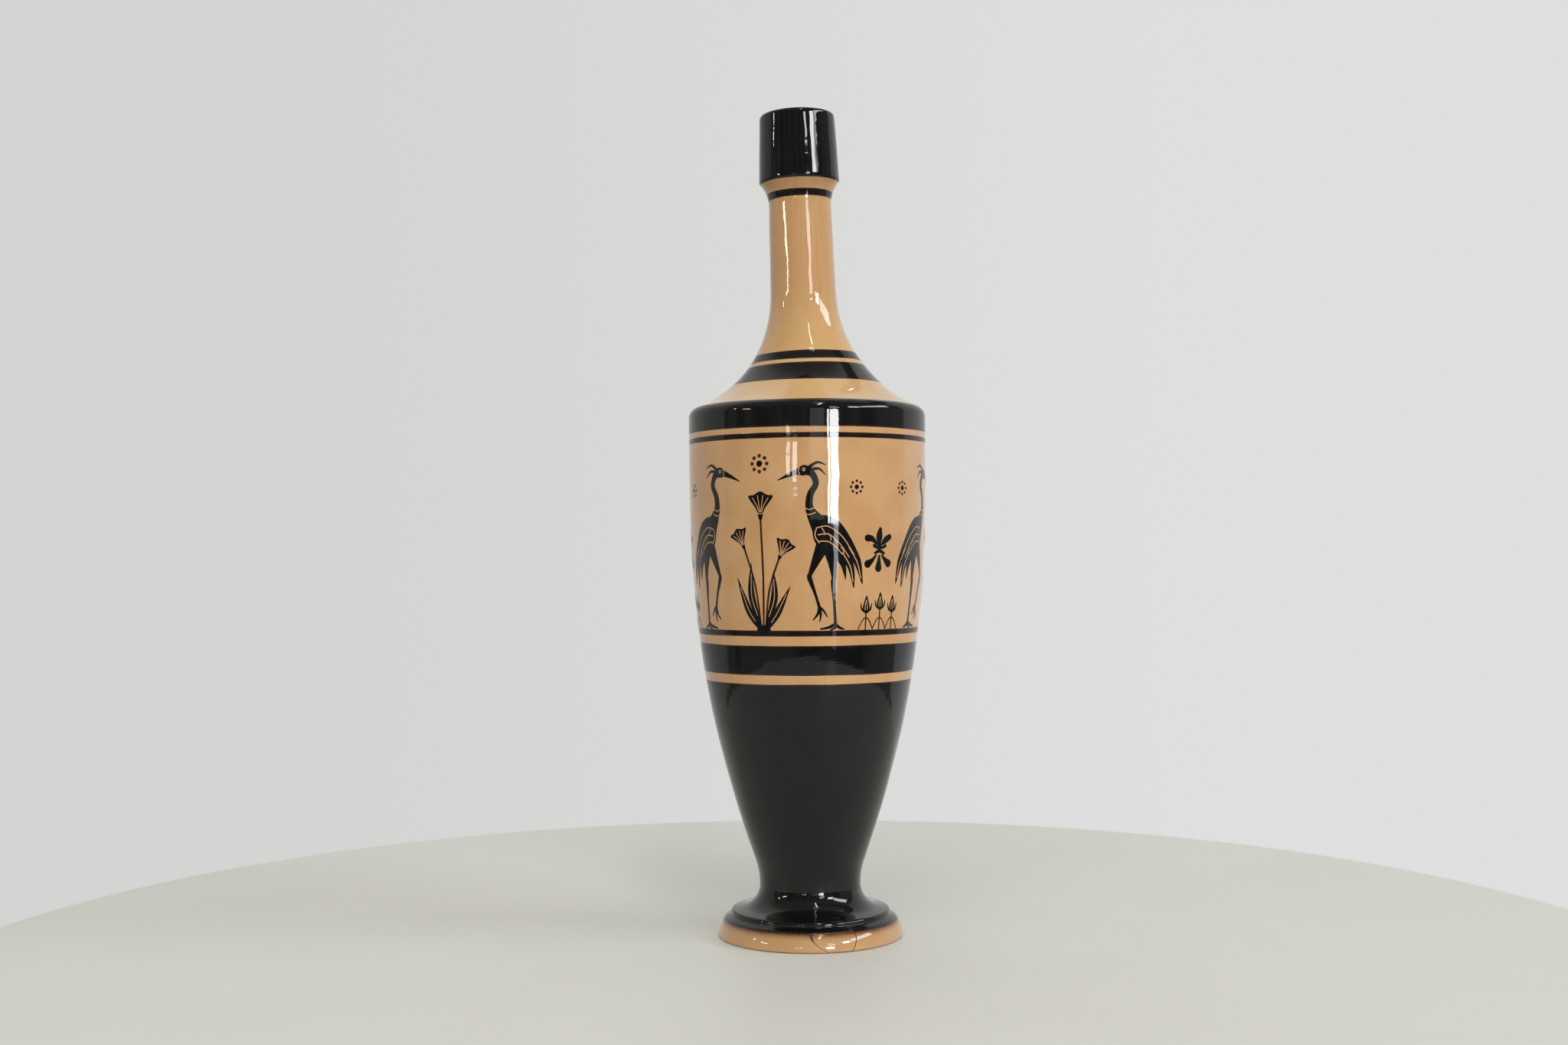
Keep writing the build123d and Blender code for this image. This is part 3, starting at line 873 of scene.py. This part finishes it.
def frieze():
    """Motifs in black, brown and red, each as (shapes, scratched, spots, places)."""
    reed_black, reed_scratched, reed_brown = reeds()
    lotus_black, lotus_scratched, lotus_brown = lotus_chain()
    plant = all_round(PLANT_BEARING, 0)
    lotus = all_round(LOTUS_BEARING, 0)
    black = [
        (reed_black, reed_scratched, [], plant),
        (lotus_black, lotus_scratched, [], lotus),
        (double_palmette(), [], [], all_round(PALMETTE_BEARING, PALMETTE_RISE)),
    ]
    brown = [(reed_brown, [], [], plant), (lotus_brown, [], [], lotus)]
    red = []
    rosettes = [(LARGE_ROSETTE_SIZE, PLANT_BEARING, LARGE_ROSETTE_RISE)]
    for bearing, side in CRANES:
        black.append((*crane(), all_round(bearing, 0, side)))
        rosettes.append((ROSETTE_SIZE, bearing - ROSETTE_TURN * side, ROSETTE_RISE))
    for size, bearing, rise in rosettes:
        middle, ring = rosette(size)
        places = all_round(bearing, rise)
        black.append((middle, [], [], places))
        red.append((ring, [], [], places))
    return black, brown, red


def flat_triangles(shapes, scratched, spots):
    """Triangles that fill the shapes, apart from what is scratched away, cut small enough to bend."""
    corners = []
    faces = []
    for outline in shapes + scratched + spots:
        area = sum(a.x * b.y - b.x * a.y for a, b in zip(outline, outline[1:] + outline[:1]))
        faces.append(list(range(len(corners), len(corners) + len(outline))))
        corners += outline if area > 0 else outline[::-1]
    low = Vector([min(places) for places in zip(*corners)])
    high = Vector([max(places) for places in zip(*corners)])
    edges = []
    for axis, spacing in ((0, GRID_ROUND), (1, GRID_UP)):
        for i in range(1, ceil((high[axis] - low[axis]) / spacing)):
            ends = [low.copy(), high.copy()]
            for end in ends:
                end[axis] = low[axis] + i * spacing
            edges.append((len(corners), len(corners) + 1))
            corners += ends
    points, _, triangles, _, _, sources = delaunay_2d_cdt(corners, edges, faces, 1, 1e-6)
    first_scratch = len(shapes)
    first_spot = first_scratch + len(scratched)
    kept = []
    for triangle, source in zip(triangles, sources):
        inside = any(s < first_scratch for s in source)
        cut = any(first_scratch <= s < first_spot for s in source)
        filled = any(s >= first_spot for s in source)
        if inside and (filled or not cut):
            kept.append(triangle)
    return points, kept


def painting(name, motifs, proud, material):
    """Thin solid paint on the wall. A motif is (shapes, scratched, spots, places)."""
    coords = []
    normals = []
    faces = []
    for shapes, scratched, spots, places in motifs:
        points, triangles = flat_triangles(shapes, scratched, spots)
        used = sorted({i for triangle in triangles for i in triangle})
        edges = {pair for a, b, c in triangles for pair in ((a, b), (b, c), (c, a))}
        outer = sorted((a, b) for a, b in edges if (b, a) not in edges)
        for bearing, height, side in places:
            top = {}
            for i in used:
                place = radians(bearing) + side * points[i].x / FRIEZE_RADIUS
                level = height + points[i].y
                top[i] = len(coords)
                coords += [on_wall(place, level, proud), on_wall(place, level, -PAINT_SUNK)]
                normals += [wall_normal(place, level)] * 2
            made = []
            for triangle in triangles:
                a, b, c = (top[i] for i in triangle)
                made += [(a, b, c), (c + 1, b + 1, a + 1)]
            for pair in outer:
                a, b = (top[i] for i in pair)
                made.append((b, a, a + 1, b + 1))
            faces += [corners[::side] for corners in made]
    piece = mesh_object(name, coords, faces)
    piece.data.polygons.foreach_set("use_smooth", [True] * len(faces))
    piece.data.normals_split_custom_set_from_vertices(normals)
    coat(piece, material)
    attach(piece, "flask")


# Materials

def linear(levels):
    """A colour in the 0 to 255 of a screen, as the linear light that a shader takes."""
    return (*Color([level / 255 for level in levels]).from_srgb_to_scene_linear(), 1.0)


def new_material(name, sockets):
    """A material with its even values set on the shader."""
    material = bpy.data.materials.new(name)
    material.use_nodes = True
    shader = material.node_tree.nodes["Principled BSDF"]
    for key, value in sockets.items():
        shader.inputs[key].default_value = value
    return material, material.node_tree, shader


def node(tree, kind, inputs, **settings):
    """A new node, with its inputs set to values or linked to other outputs."""
    made = tree.nodes.new("ShaderNode" + kind)
    for key, value in settings.items():
        setattr(made, key, value)
    for key, value in inputs.items():
        if isinstance(value, bpy.types.NodeSocket):
            tree.links.new(value, made.inputs[key])
        else:
            made.inputs[key].default_value = value
    return made


def maths(tree, operation, a, b, c=0.0):
    """One step of arithmetic."""
    return node(tree, "Math", {0: a, 1: b, 2: c}, operation=operation).outputs[0]


def times(tree, a, b, plus=0.0):
    """The first value times the second, plus a third."""
    return maths(tree, "MULTIPLY_ADD", a, b, plus)


def ramp(tree, value, start, end, low=0.0, high=1.0):
    """Goes smoothly from low to high as value goes from start to end."""
    inputs = {"Value": value, "From Min": start, "From Max": end, "To Min": low, "To Max": high}
    return node(tree, "MapRange", inputs, interpolation_type="SMOOTHSTEP").outputs[0]


def blend(tree, share, a, b):
    """Mixes two colours, each an output or named above."""
    a, b = (linear(c) if isinstance(c, tuple) else c for c in (a, b))
    return node(tree, "Mix", {0: share, 6: a, 7: b}, data_type="RGBA").outputs[2]


def cloud(tree, size, detail=2.0, stretch=(1, 1, 1)):
    """Soft noise from 0 to 1 whose lumps are that many millimetres, times the stretch."""
    place = node(tree, "TexCoord", {}).outputs["Object"]
    scale = [1 / s for s in stretch]
    place = node(tree, "Mapping", {"Vector": place, "Scale": scale}).outputs[0]
    inputs = {"Vector": place, "Scale": 1 / (size * MM), "Detail": detail}
    return node(tree, "TexNoise", inputs).outputs[0]


def specks(tree, spacing, radius, share):
    """Small round spots, 1 inside: their spacing and radius, and the share of places that have one."""
    place = node(tree, "TexCoord", {}).outputs["Object"]
    cells = node(tree, "TexVoronoi", {"Vector": place, "Scale": 1 / (spacing * MM)})
    lucky = node(tree, "SeparateColor", {0: cells.outputs["Color"]}).outputs[0]
    edge = radius / spacing
    spot = ramp(tree, cells.outputs["Distance"], 0.7 * edge, 1.2 * edge, 1.0, 0.0)
    return times(tree, spot, maths(tree, "LESS_THAN", lucky, share))


def value_of(tree, name):
    """A value that the mesh carries at each vertex."""
    return node(tree, "Attribute", {}, attribute_name=name).outputs["Fac"]


def surface(tree, shader, shade, roughness, *layers):
    """Links colour, roughness and bump. A layer of bump is a height from 0 to 1 and its millimetres."""
    tree.links.new(shade, shader.inputs["Base Color"])
    tree.links.new(roughness, shader.inputs["Roughness"])
    total = 0.0
    for height, depth in layers:
        total = times(tree, height, depth, total)
    if layers:
        bump = node(tree, "Bump", {"Height": total, "Distance": MM})
        tree.links.new(bump.outputs[0], shader.inputs["Normal"])


def glaze_material():
    """Clear glaze over buff clay, with the black bands painted by the depth that the mesh carries."""
    material, tree, shader = new_material("glaze_banded", {"IOR": GLAZE_IOR, "Sheen Roughness": 0.4})
    height = value_of(tree, "height")
    swell = cloud(tree, GLAZE_SWELL, 3)
    grain = cloud(tree, 0.45, 3)
    smear = cloud(tree, GLAZE_SMEAR, 3)

    # The bands were brushed on and have clean edges, but the black on the foot was sprayed
    sprayed = ramp(tree, height, *SPRAY_TOP, 1.0, 0.0)
    wander = maths(tree, "SUBTRACT", cloud(tree, 22), 0.5)
    edge = times(tree, wander, 0.5, value_of(tree, "black_depth"))
    fray = times(tree, sprayed, 1.5, 0.15)
    edge = times(tree, maths(tree, "SUBTRACT", grain, 0.5), fray, edge)
    soft = times(tree, sprayed, 0.6, 0.08)
    black = ramp(tree, edge, times(tree, soft, -1.0), soft)
    thin = ramp(tree, edge, 0.1, 0.9, 0.8, 0.0)
    dust = times(tree, sprayed, ramp(tree, edge, -2.0, 0.0, 0.0, 0.7))

    # The buff differs from the foot up to the neck, with painted shade on the roll of the foot, and has
    # streaks, grain, specks and a rust spot
    buff = blend(tree, ramp(tree, swell, 0.3, 0.7), BUFF_DARK, BUFF_LIGHT)
    buff = blend(tree, ramp(tree, height, *SHOULDER_RANGE, 0.0, 0.4), buff, BUFF_PALE)
    buff = blend(tree, ramp(tree, height, *NECK_RANGE, 0.0, 0.75), buff, BUFF_NECK)
    # Painted shade: the roll of the foot is darkened towards a duller buff
    roll_shade = times(tree, sprayed, ramp(tree, height, *ROLL_SHADE_RANGE, 0.2, 0.6))
    buff = blend(tree, roll_shade, buff, BUFF_ROLL_SHADE)
    streaks = ramp(tree, cloud(tree, 1.1, 3, (1, 1, 28)), 0.5, 0.72)
    stained = ramp(tree, height, *STAIN_RANGE, 0.14, 0.5)
    buff = blend(tree, times(tree, streaks, stained), buff, BUFF_STREAK)
    buff = blend(tree, ramp(tree, grain, 0.5, 0.8, 0.0, 0.22), buff, BUFF_STREAK)
    buff = blend(tree, times(tree, specks(tree, 3.2, 0.16, 0.12), 0.7), buff, SPECK)
    place = node(tree, "TexCoord", {}).outputs["Object"]
    middle = wall_point(foot_radius, radians(RUST_BEARING), RUST_HEIGHT)
    reach = node(tree, "VectorMath", {0: place, 1: middle}, operation="DISTANCE").outputs["Value"]
    buff = blend(tree, ramp(tree, reach, 0.5 * RUST_SIZE * MM, RUST_SIZE * MM, 1.0, 0.0), buff, RUST)
    buff = blend(tree, dust, buff, HALO)
    bare = ramp(tree, times(tree, smear, 0.7, height), *BARE_TOP, 1.0, 0.0)
    buff = blend(tree, bare, buff, TERRACOTTA)

    # The black is brown where it is thin, and has a few pinholes
    dark = blend(tree, ramp(tree, swell, 0.35, 0.75), BLACK, BLACK_SOFT)
    dark = blend(tree, thin, dark, BLACK_BROWN)
    dark = blend(tree, times(tree, specks(tree, 11, 0.22, 0.1), 0.6), dark, PINHOLE)

    tree.links.new(ramp(tree, black, 0.0, 1.0, 0.3, 0.0), shader.inputs["Sheen Weight"])
    roughness = ramp(tree, smear, 0.3, 0.7, *GLAZE_ROUGHNESS)
    roughness = times(tree, bare, 0.6, roughness)
    brushed = cloud(tree, 1.8, 2, (14, 14, 1))
    surface(tree, shader, blend(tree, black, buff, dark), roughness, (swell, GLAZE_SWELL_DEPTH),
            (cloud(tree, 2.4), 0.007), (black, 0.012), (brushed, 0.009))
    return material


def paint_material(name, deep, thin):
    """Painted glaze: one colour where the brush left it thick, another where it is thin."""
    material, tree, shader = new_material(name, {"IOR": GLAZE_IOR})
    brush = cloud(tree, 2.6, 3, (1, 1, 2.5))
    shade = blend(tree, ramp(tree, brush, 0.45, 0.8), deep, thin)
    roughness = ramp(tree, cloud(tree, GLAZE_SMEAR, 3), 0.3, 0.7, *GLAZE_ROUGHNESS)
    swell = cloud(tree, GLAZE_SWELL, 3)
    surface(tree, shader, shade, roughness, (swell, GLAZE_SWELL_DEPTH), (brush, 0.008))
    return material


def clay_material(name, dark, light):
    """Bare fired clay: fine grit, clouds of colour and the rings that turning leaves."""
    material, tree, shader = new_material(name, {"Specular IOR Level": 0.25})
    grit = cloud(tree, 0.35, 4)
    rings = cloud(tree, 1.6, 2, (12, 12, 1))
    shade = blend(tree, ramp(tree, cloud(tree, 9, 4), 0.3, 0.7), dark, light)
    shade = blend(tree, ramp(tree, grit, 0.55, 0.8, 0.0, 0.35), shade, SPECK)
    surface(tree, shader, shade, ramp(tree, grit, 0.2, 0.8, 0.7, 0.95), (grit, 0.05), (rings, 0.08))
    return material


def glue_material():
    """Old glue in the crack, dark and a little shiny."""
    material, tree, shader = new_material("glue_old", {"IOR": 1.48})
    dirt = cloud(tree, 0.8, 4)
    shade = blend(tree, ramp(tree, dirt, 0.35, 0.7), GLUE_DARK, GLUE_LIGHT)
    surface(tree, shader, shade, ramp(tree, dirt, 0.3, 0.7, 0.35, 0.75), (dirt, 0.08))
    return material


def cork_material():
    """Cork: warm grain with dark pores and short cracks across it."""
    material, tree, shader = new_material("cork_bark", {"Specular IOR Level": 0.3})
    grain = cloud(tree, 1.3, 4)
    pores = ramp(tree, cloud(tree, 1.1, 3, (1, 1, 2.6)), 0.6, 0.68)
    shade = blend(tree, ramp(tree, grain, 0.3, 0.7), CORK_DARK, CORK_LIGHT)
    shade = blend(tree, ramp(tree, cloud(tree, 6, 3), 0.35, 0.75, 0.0, 0.45), shade, CORK_DARK)
    shade = blend(tree, times(tree, pores, 0.75), shade, CORK_PORE)
    surface(tree, shader, shade, ramp(tree, grain, 0.2, 0.8, 0.65, 0.9), (grain, 0.06), (pores, -0.15))
    return material


glaze = glaze_material()
clay = clay_material("clay_bare", CLAY_DARK, CLAY_LIGHT)
slip = clay_material("slip_fired", SLIP_DARK, SLIP_LIGHT)
black_paint = paint_material("paint_black", BLACK, BLACK_SOFT)
brown_paint = paint_material("paint_brown", LINE_DARK, LINE_LIGHT)
red_paint = paint_material("paint_red", RED_DARK, RED_LIGHT)
glue = glue_material()
bark = cork_material()


# Pieces, and where they belong

for piece in (body, neck, mouth):
    coat(piece, glaze, clay)

shard_shape = shard_block("shard_shape", 0.0)
break_shape = shard_block("break_shape", CRACK_WIDTH)
foot = turned_foot("foot_turned")
foot_shard = turned_foot("foot_shard_set")
shard_glue = turned_foot("shard_glue_film", GLUE_SINK)
carve(foot, break_shape, "DIFFERENCE")
carve(foot_shard, shard_shape, "INTERSECT")
carve(shard_glue, break_shape, "INTERSECT")
carve(shard_glue, shard_shape, "DIFFERENCE")
shard_glue.data.materials.clear()
coat(shard_glue, glue)
for block in (shard_shape, break_shape):
    bpy.data.objects.remove(block)

cork = lathe("cork_bark_stopper", [(cork_outline(), 0, 0)], columns=CORK_COLUMNS)
coat(cork, bark)
for vertex in cork.data.vertices:
    lump = noise.voronoi(vertex.co / (CORK_PORE_SPACING * MM))[0][0]
    vertex.co -= vertex.normal * CORK_PORE_DEPTH * MM * max(0.0, 1 - lump / CORK_PORE_SHARE)

black_motifs, brown_motifs, red_motifs = frieze()
painting("frieze_black", black_motifs, PAINT_PROUD, black_paint)
painting("frieze_lines", brown_motifs, LINE_PROUD, brown_paint)
painting("frieze_red", red_motifs, LINE_PROUD, red_paint)

owners = (
    (foot, "flask", "foot", "black_glaze"),
    (foot_shard, "flask", "foot_shard", "buff_glaze"),
    (shard_glue, "flask", "shard_glue", "glue"),
    (body, "flask", "body", "buff_glaze"),
    (neck, "flask", "neck", "buff_glaze"),
    (mouth, "flask", "mouth", "black_glaze"),
    (cork, "cork", "cork_stopper", "cork"),
)
for piece, owner, replaced, slot_name in owners:
    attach(piece, owner)
    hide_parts(replaced)
for name in ("foot_slip", "neck_slip", "mouth_slip"):
    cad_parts[name].data.materials.clear()
    coat(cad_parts[name], slip)


# Studio

def studio_floor():
    """A round pale tabletop with a rounded edge."""
    edge = TABLE_THICKNESS / 2
    under = (TABLE_RADIUS - edge, -TABLE_THICKNESS)
    outline = [(0, -TABLE_THICKNESS), under] + turn(under, 0, edge, 180, 2.0) + [(0, 0)]
    floor = lathe("studio_floor", [(outline, 0, 0)])
    floor.location = Vector((*TABLE_CENTRE, 0)) * MM
    material, tree, shader = new_material("studio_floor", {"Specular IOR Level": 0.14})
    mottle = cloud(tree, 60, 3)
    shade = blend(tree, mottle, TABLE_DARK, TABLE_LIGHT)
    surface(tree, shader, shade, ramp(tree, mottle, 0.3, 0.7, *TABLE_ROUGHNESS))
    coat(floor, material)


def studio_world():
    """Pale walls behind and beside the flask, a dim room behind the camera, and a pale background."""
    world = bpy.data.worlds.new("studio")
    scene.world = world
    world.use_nodes = True
    tree = world.node_tree
    way = node(tree, "TexCoord", {}).outputs["Generated"]
    x, y, z = node(tree, "SeparateXYZ", {0: way}).outputs

    def clutter(stretch, scale, detail):
        place = node(tree, "Mapping", {"Vector": way, "Scale": stretch}).outputs[0]
        return node(tree, "TexNoise", {"Vector": place, "Scale": scale, "Detail": detail}).outputs[0]

    # The room that the camera stands in
    room = blend(tree, ramp(tree, clutter((1, 1, 0.2), 5.0, 3.0), 0.4, 0.65), ROOM_DIM, ROOM_LIT)
    room = blend(tree, ramp(tree, x, 0.85, 0.99), room, ROOM_RIGHT)

    # The walls behind the flask, which start further back on the right and low on the left
    low_left = times(tree, maths(tree, "MINIMUM", z, 0.0), maths(tree, "MINIMUM", x, 0.0))
    back = times(tree, x, -0.17, y)
    back = times(tree, low_left, -0.9, back)
    walls = blend(tree, ramp(tree, x, -1.0, 1.0), WALL_LEFT, WALL_RIGHT)
    room = blend(tree, ramp(tree, back, 0.07, 0.16), room, walls)

    # What stands lower than the table, with a ragged upper edge
    low = blend(tree, ramp(tree, x, -0.35, -0.1), LOW_LIT, LOW_DIM)
    low = blend(tree, ramp(tree, x, 0.8, 0.88), low, LOW_LIT)
    height = times(tree, clutter((3, 3, 30), 1.0, 2.0), 0.06, z)
    room = blend(tree, ramp(tree, height, -0.27, -0.25, 1.0, 0.0), room, low)

    # The ceiling, dimmer over the camera, with a dark beam across its right
    ceiling = blend(tree, ramp(tree, y, -0.05, 0.45), CEILING_DIM, CEILING)
    beam = times(tree, ramp(tree, z, 0.70, 0.74), ramp(tree, z, 0.81, 0.85, 1.0, 0.0))
    beam = times(tree, beam, ramp(tree, x, 0.14, 0.2))
    ceiling = blend(tree, beam, ceiling, ROOM_DIM)
    room = blend(tree, ramp(tree, z, 0.42, 0.72), room, ceiling)

    background = blend(tree, ramp(tree, x, -0.3, 0.3), BACKGROUND_LEFT, BACKGROUND_RIGHT)
    seen = node(tree, "LightPath", {}).outputs["Is Camera Ray"]
    tree.links.new(blend(tree, seen, room, background), tree.nodes["Background"].inputs["Color"])


def window(name, bearing, elevation, width, height, radiance, tilt, tint):
    """A rectangular lamp that faces the flask. Its place and its size are angles seen from there."""
    a = radians(bearing)
    e = radians(elevation)
    way = Vector((sin(a) * cos(e), -cos(a) * cos(e), sin(e)))
    distance = LAMP_DISTANCE * MM
    lamp = bpy.data.lights.new(name, "AREA")
    lamp.shape = "RECTANGLE"
    lamp.size = 2 * distance * tan(radians(width / 2))
    lamp.size_y = 2 * distance * tan(radians(height / 2))
    lamp.energy = pi * lamp.size * lamp.size_y * radiance
    lamp.color = tint
    holder = bpy.data.objects.new(name, lamp)
    facing = way.to_track_quat("Z", "Y").to_matrix() @ Matrix.Rotation(radians(tilt), 3, "Z")
    place = Vector((0, 0, LAMP_TARGET * MM)) + way * distance
    holder.matrix_world = Matrix.Translation(place) @ facing.to_4x4()
    holder.visible_camera = False
    scene.collection.objects.link(holder)
    return holder


def camera():
    """Where the photograph was taken from."""
    lens = bpy.data.cameras.new("camera")
    lens.sensor_width = SENSOR_WIDTH
    lens.lens = SENSOR_WIDTH * FOCAL_PIXELS / IMAGE_WIDTH
    lens.clip_start = NEAREST * MM
    holder = bpy.data.objects.new("camera", lens)
    raised = Matrix.Rotation(radians(90 + CAMERA_PITCH), 4, "X")
    rolled = Matrix.Rotation(radians(-CAMERA_ROLL), 4, "Z")
    holder.matrix_world = Matrix.Translation(Vector(CAMERA_PLACE) * MM) @ raised @ rolled
    scene.collection.objects.link(holder)
    scene.camera = holder


studio_floor()
studio_world()
for row in WINDOWS:
    window(*row, DAYLIGHT).visible_diffuse = row[0] not in MIRRORED_ONLY
for row in LAMPS:
    window(*row, LAMPLIGHT)
for row in FILLS:
    window(*row, DAYLIGHT).visible_glossy = False
camera()
scene.view_settings.view_transform = "Standard"
